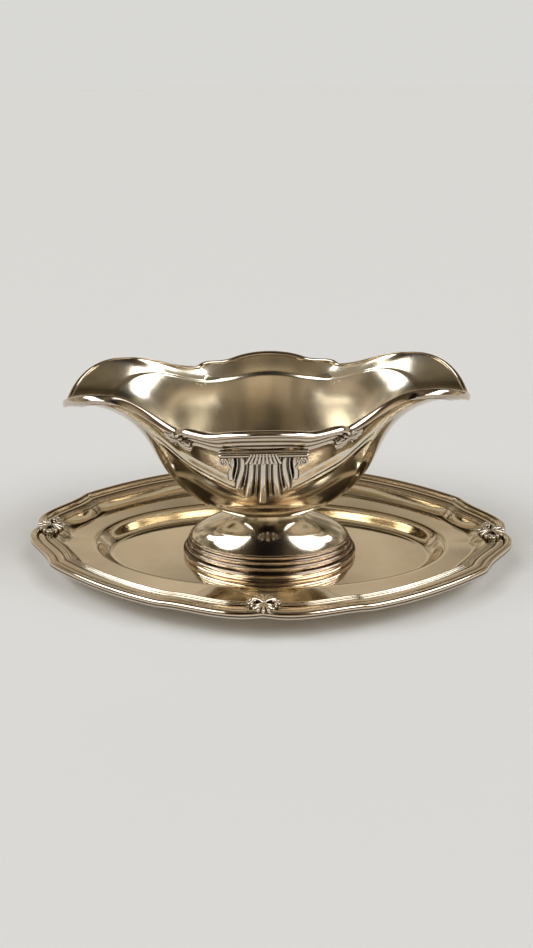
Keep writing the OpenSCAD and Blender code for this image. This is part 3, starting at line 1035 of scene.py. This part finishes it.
# Tint, tint where it is worn, least and most roughness, and strength of the scratches
FINISHES = {
    "sheet": ((0.76, 0.685, 0.555), (0.70, 0.615, 0.475), (0.05, 0.12), 0.25),
    "moulded": ((0.77, 0.69, 0.57), (0.72, 0.61, 0.48), (0.06, 0.14), 0.3),
    # The rim finish is a darker copy of the silver: painted shade on the rim band
    "rim": ((0.66, 0.585, 0.49), (0.58, 0.49, 0.395), (0.08, 0.16), 0.3),
    "cast": ((0.75, 0.68, 0.585), (0.68, 0.585, 0.48), (0.09, 0.18), 0.3),
    "bowl": ((0.77, 0.70, 0.57), (0.71, 0.62, 0.48), (0.07, 0.15), 0.4),
    "satin": ((0.82, 0.755, 0.635), (0.76, 0.675, 0.52), (0.15, 0.24), 0.45),
    # The foot ring's finish is lighter and pinker: a painted pinkish reflection
    "worn": ((0.80, 0.70, 0.59), (0.79, 0.63, 0.53), (0.07, 0.16), 0.3),
}
SILVER = {name: silver(f"{name}_silver", *finish) for name, finish in FINISHES.items()}


# ---- scene ----

FLOOR_HALF = 9.0
FLOOR_TINT = (0.78, 0.785, 0.80, 1)


def studio_floor():
    """Plain pale floor."""
    corners = [(FLOOR_HALF * x, FLOOR_HALF * y, 0) for x, y in ((-1, -1), (1, -1), (1, 1), (-1, 1))]
    mesh = bpy.data.meshes.new("floor")
    mesh.from_pydata(corners, [], [(0, 1, 2, 3)])
    floor = bpy.data.objects.new("floor", mesh)
    bpy.context.scene.collection.objects.link(floor)
    material = bpy.data.materials.new("floor_paper")
    material.use_nodes = True
    shader = material.node_tree.nodes["Principled BSDF"]
    shader.inputs["Base Color"].default_value = FLOOR_TINT
    shader.inputs["Roughness"].default_value = 0.9
    floor.data.materials.append(material)


def soft_light(name, azimuth, elevation, strength, width, colour):
    """Distant soft light; azimuth is in degrees from -Y towards +X, and width is its angle."""
    data = bpy.data.lights.new(name, "SUN")
    data.energy = strength
    data.angle = math.radians(width)
    data.color = colour
    lamp = bpy.data.objects.new(name, data)
    lamp.rotation_euler = (math.radians(90 - elevation), 0, math.radians(azimuth))
    bpy.context.scene.collection.objects.link(lamp)


def studio_lights():
    """Four soft lights, two at each side: one towards the camera, and a cooler one farther round."""
    for side in (-1, 1):
        soft_light(f"front_light_{side}", side * 54, 52, 0.9, 30, (1.0, 0.99, 0.96))
        soft_light(f"side_light_{side}", side * 84, 50, 0.6, 22, (0.94, 0.98, 1.0))


# The room that the silver mirrors: stops of colour over the height of the direction, 0 to 1
FRONT_ROOM = [
    (0.0, (0.62, 0.52, 0.38)), (0.24, (0.58, 0.47, 0.33)), (0.32, (0.20, 0.155, 0.095)),
    (0.55, (0.08, 0.056, 0.03)), (0.88, (0.035, 0.026, 0.014)), (0.98, (0.16, 0.13, 0.085)),
]
BACK_ROOM = [
    (0.0, (0.48, 0.42, 0.33)), (0.56, (0.52, 0.45, 0.35)), (0.68, (0.36, 0.30, 0.20)),
    (0.76, (0.05, 0.033, 0.013)), (0.9, (0.03, 0.021, 0.009)), (0.98, (0.16, 0.13, 0.085)),
]
CARD_TINT = (0.014, 0.009, 0.008)
PATCH_SCALE = 3.2
SEEN_WORLD = (0.695, 0.69, 0.665)


def from_minus_one(tree, value):
    """Maps a direction's coordinate from -1 to 1 onto 0 to 1."""
    made = add(tree, "ShaderNodeMapRange", **{"From Min": -1.0})
    tree.links.new(value, made.inputs["Value"])
    return made.outputs["Result"]


def card_share(tree, across, depth, height):
    """Where a dark card hangs in the middle of the front of the room."""
    middle = ramp(tree, across, [(0.39, 0.0), (0.43, 1.0), (0.57, 1.0), (0.61, 0.0)])
    near = ramp(tree, depth, [(0.34, 1.0), (0.42, 0.0)])
    high = ramp(tree, height, [(0.42, 0.0), (0.5, 1.0), (0.9, 1.0), (0.95, 0.0)])
    return mix(tree, 1.0, mix(tree, 1.0, middle, near, "MULTIPLY"), high, "MULTIPLY")


def studio_world():
    """Pale towards the camera; to the silver, a warm room that is dark in front and lighter behind."""
    world = bpy.data.worlds.new("studio")
    bpy.context.scene.world = world
    world.use_nodes = True
    tree = world.node_tree
    coords = tree.nodes.new("ShaderNodeTexCoord").outputs["Generated"]
    split = tree.nodes.new("ShaderNodeSeparateXYZ")
    tree.links.new(coords, split.inputs[0])
    across = from_minus_one(tree, split.outputs["X"])
    depth = from_minus_one(tree, split.outputs["Y"])
    height = split.outputs["Z"]
    back_share = ramp(tree, depth, [(0.2, 0.0), (0.6, 1.0)])
    room = mix(tree, back_share, ramp(tree, height, FRONT_ROOM), ramp(tree, height, BACK_ROOM))
    carded = mix(tree, card_share(tree, across, depth, height), room, CARD_TINT)
    patches = ramp(tree, noise(tree, coords, PATCH_SCALE, 2), [(0.38, 0.45), (0.6, 1.3)])
    mottled = mix(tree, 1.0, carded, patches, "MULTIPLY")
    seen = tree.nodes.new("ShaderNodeLightPath").outputs["Is Camera Ray"]
    tree.links.new(mix(tree, seen, mottled, SEEN_WORLD), tree.nodes["Background"].inputs["Color"])


CAMERA_DISTANCE = 0.4363
CAMERA_RISE = math.radians(32.95)
CAMERA_AZIMUTH = math.radians(2.23)
CAMERA_PITCH = math.radians(27.30)
CAMERA_PAN = math.radians(0.154)
CAMERA_ROLL = math.radians(0.416)
CAMERA_LENS = 30.38
CAMERA_SENSOR = 36


def camera():
    """Camera in front of the tray, looking down on it."""
    data = bpy.data.cameras.new("camera")
    data.lens = CAMERA_LENS
    data.sensor_width = CAMERA_SENSOR
    eye = bpy.data.objects.new("camera", data)
    reach = CAMERA_DISTANCE * math.cos(CAMERA_RISE)
    place = (
        reach * math.sin(CAMERA_AZIMUTH),
        -reach * math.cos(CAMERA_AZIMUTH),
        CAMERA_DISTANCE * math.sin(CAMERA_RISE),
    )
    turn = (
        Matrix.Rotation(CAMERA_AZIMUTH, 4, "Z")
        @ Matrix.Rotation(math.pi / 2 - CAMERA_PITCH, 4, "X")
        @ Matrix.Rotation(CAMERA_PAN, 4, "Y")
        @ Matrix.Rotation(-CAMERA_ROLL, 4, "Z")
    )
    eye.matrix_world = Matrix.Translation(place) @ turn
    bpy.context.scene.collection.objects.link(eye)
    bpy.context.scene.camera = eye


def plain_tones():
    """Shows the light's own colours, without a film-like curve."""
    bpy.context.scene.view_settings.view_transform = "Standard"


# ---- pieces on their bodies ----

def finish_piece(piece, body, finishes, node):
    """Gives a piece its finishes and its body, and hides the CAD node that it stands for."""
    for finish in finishes:
        piece.data.materials.append(SILVER[finish])
    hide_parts(node)
    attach(piece, body)


def finish_tray():
    """The tray's sheet, its border and the four palmettes on it."""
    finish_piece(tray_dish(), "tray", ["sheet"], "tray_dish")
    finish_piece(tray_border(), "tray", ["moulded"], "tray_border")
    notches = {
        "front": ((0, -SIDE_NOTCH[1], 0), (0, 1, 0)),
        "back": ((0, SIDE_NOTCH[1], 0), (0, -1, 0)),
        "left": ((-END_NOTCH[0], 0, 0), (1, 0, 0)),
        "right": ((END_NOTCH[0], 0, 0), (-1, 0, 0)),
    }
    for side, (notch, inward) in notches.items():
        shell = tray_shell(f"tray_palmette_{side}", notch, inward)
        finish_piece(shell, "tray", ["cast"], f"tray_shell_{side}")


def finish_boat():
    """The bowl and its border, palmettes and ears, and the collar, the foot and its ring."""
    finish_piece(bowl(), "boat", ["bowl", "satin"], "bowl")
    # The rim band's darker finish is painted shade
    finish_piece(bowl_border(), "boat", ["rim"], "bowl_border")
    places = {
        "back_right": BOWL_SHELL_INDEX,
        "back_left": 2 * QUARTER - BOWL_SHELL_INDEX,
        "front_left": 2 * QUARTER + BOWL_SHELL_INDEX,
        "front_right": 4 * QUARTER - BOWL_SHELL_INDEX,
    }
    for side, index in places.items():
        shell = bowl_shell(f"rim_palmette_{side}", index)
        finish_piece(shell, "boat", ["cast"], f"bowl_shell_{side}")
    finish_piece(handle("ear_front", on_front), "boat", ["cast"], "handle_front")
    finish_piece(handle("ear_back", on_foot), "boat", ["cast"], "handle_back")
    finish_piece(collar(), "boat", ["moulded"], "collar")
    finish_piece(foot(), "boat", ["bowl"], "foot")
    # The foot ring's finish carries a painted pinkish reflection
    finish_piece(foot_ring(), "boat", ["worn"], "foot_ring")


studio_floor()
studio_lights()
studio_world()
camera()
plain_tones()
finish_tray()
finish_boat()
